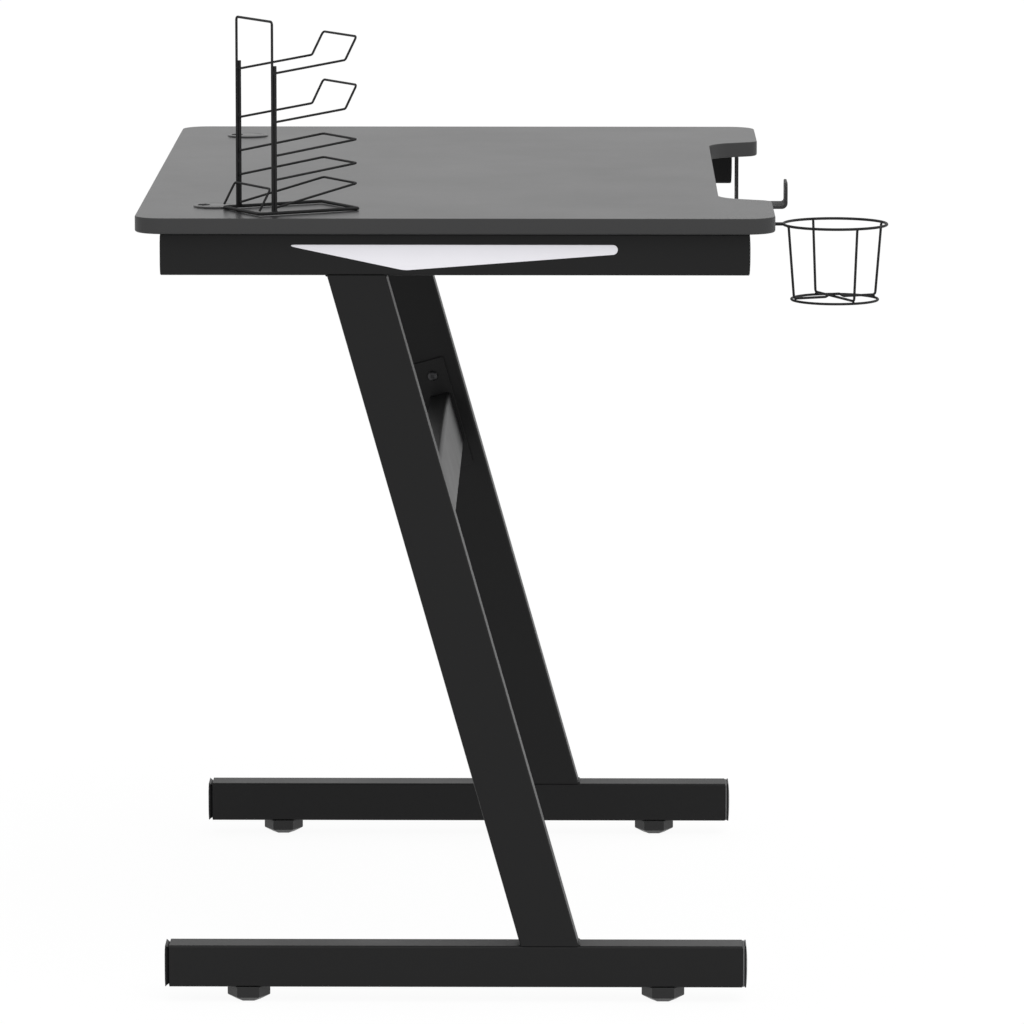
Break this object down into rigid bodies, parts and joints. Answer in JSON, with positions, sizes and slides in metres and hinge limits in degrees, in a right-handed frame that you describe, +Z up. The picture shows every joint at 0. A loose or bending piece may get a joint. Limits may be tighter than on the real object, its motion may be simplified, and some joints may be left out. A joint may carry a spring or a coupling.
{
  "type": "gaming desk",
  "caption": "Small black desk on slanted tube legs, with a front cut-out, lit side panels, a cup holder, a headphone hook and a loose wire rack.",
  "frame": {"origin": "on the floor under the middle of the whole footprint, cup holder included", "axes": "+X along the desk to the user's right, +Y away from the user, +Z up"},
  "size_m": [0.9, 0.71, 0.9325],
  "materials": {
    "board": "black textured laminate",
    "steel": "semi-matt black powder coat",
    "wire": "semi-matt black powder coat on round wire",
    "cap_plastic": "moulded black plastic",
    "glide_plastic": "moulded black plastic",
    "grommet_plastic": "moulded black plastic",
    "lens": "milky translucent plastic",
    "light_strip": "white flexible circuit with light chips",
    "rubber": "soft black rubber",
    "zinc": "black-zinc screws and bolts",
    "plated": "bright zinc nuts",
    "brass": "bare brass"
  },
  "bodies": {
    "desk": {"desktop": "board", "left_beam": "steel", "left_column": "steel", "left_foot": "steel", "left_end_plate": "steel", "left_beam_front_cap": "cap_plastic", "left_beam_back_cap": "cap_plastic", "left_foot_front_cap": "cap_plastic", "left_foot_back_cap": "cap_plastic", "left_light_panel": "lens", "left_light_strip": "light_strip", "left_lead_grommet": "rubber", "left_grommet_liner": "grommet_plastic", "right_beam": "steel", "right_column": "steel", "right_foot": "steel", "right_end_plate": "steel", "right_beam_front_cap": "cap_plastic", "right_beam_back_cap": "cap_plastic", "right_foot_front_cap": "cap_plastic", "right_foot_back_cap": "cap_plastic", "right_light_panel": "lens", "right_light_strip": "light_strip", "right_lead_grommet": "rubber", "right_grommet_liner": "grommet_plastic", "crossbar": "steel", "glide_nuts": "plated", "crossbar_nuts": "plated", "board_inserts": "brass", "beam_screws": "zinc", "crossbar_bolts": "zinc", "cup_holder_screws": "zinc", "headphone_hook_screws": "zinc", "cup_holder_ring": "wire", "cup_holder_base_ring": "wire", "cup_holder_cradle_low": "wire", "cup_holder_cradle_high": "wire", "cup_holder_plate": "wire", "headphone_hook": "wire"},
    "rack": {"rack_back_frame": "wire", "rack_left_post": "wire", "rack_right_post": "wire", "rack_base": "wire", "rack_brace": "wire", "rack_tier_low": "wire", "rack_tier_middle": "wire", "rack_tier_high": "wire", "rack_headset_loop_low": "wire", "rack_headset_loop_high": "wire"},
    "front_left_glide": {"glide_front_left": "glide_plastic"},
    "back_left_glide": {"glide_back_left": "glide_plastic"},
    "left_lid": {"left_grommet_lid": "grommet_plastic"},
    "front_right_glide": {"glide_front_right": "glide_plastic"},
    "back_right_glide": {"glide_back_right": "glide_plastic"},
    "right_lid": {"right_grommet_lid": "grommet_plastic"}
  },
  "joints": [
    {"name": "front_left_glide_height", "type": "slide", "parent": "desk", "child": "front_left_glide", "axis": [0, 0, -1], "range_m": [0, 0.01]},
    {"name": "back_left_glide_height", "type": "slide", "parent": "desk", "child": "back_left_glide", "axis": [0, 0, -1], "range_m": [0, 0.01]},
    {"name": "front_right_glide_height", "type": "slide", "parent": "desk", "child": "front_right_glide", "axis": [0, 0, -1], "range_m": [0, 0.01]},
    {"name": "back_right_glide_height", "type": "slide", "parent": "desk", "child": "back_right_glide", "axis": [0, 0, -1], "range_m": [0, 0.01]},
    {"name": "left_lid_turn", "type": "hinge", "parent": "desk", "child": "left_lid", "pos_m": [-0.344, 0.283, 0.75], "axis": [0, 0, 1], "continuous": true},
    {"name": "right_lid_turn", "type": "hinge", "parent": "desk", "child": "right_lid", "pos_m": [0.344, 0.283, 0.75], "axis": [0, 0, 1], "continuous": true},
    {"name": "rack_lift", "type": "slide", "parent": "desk", "child": "rack", "axis": [0, 0, 1], "range_m": [0, 0.2]}
  ]
}
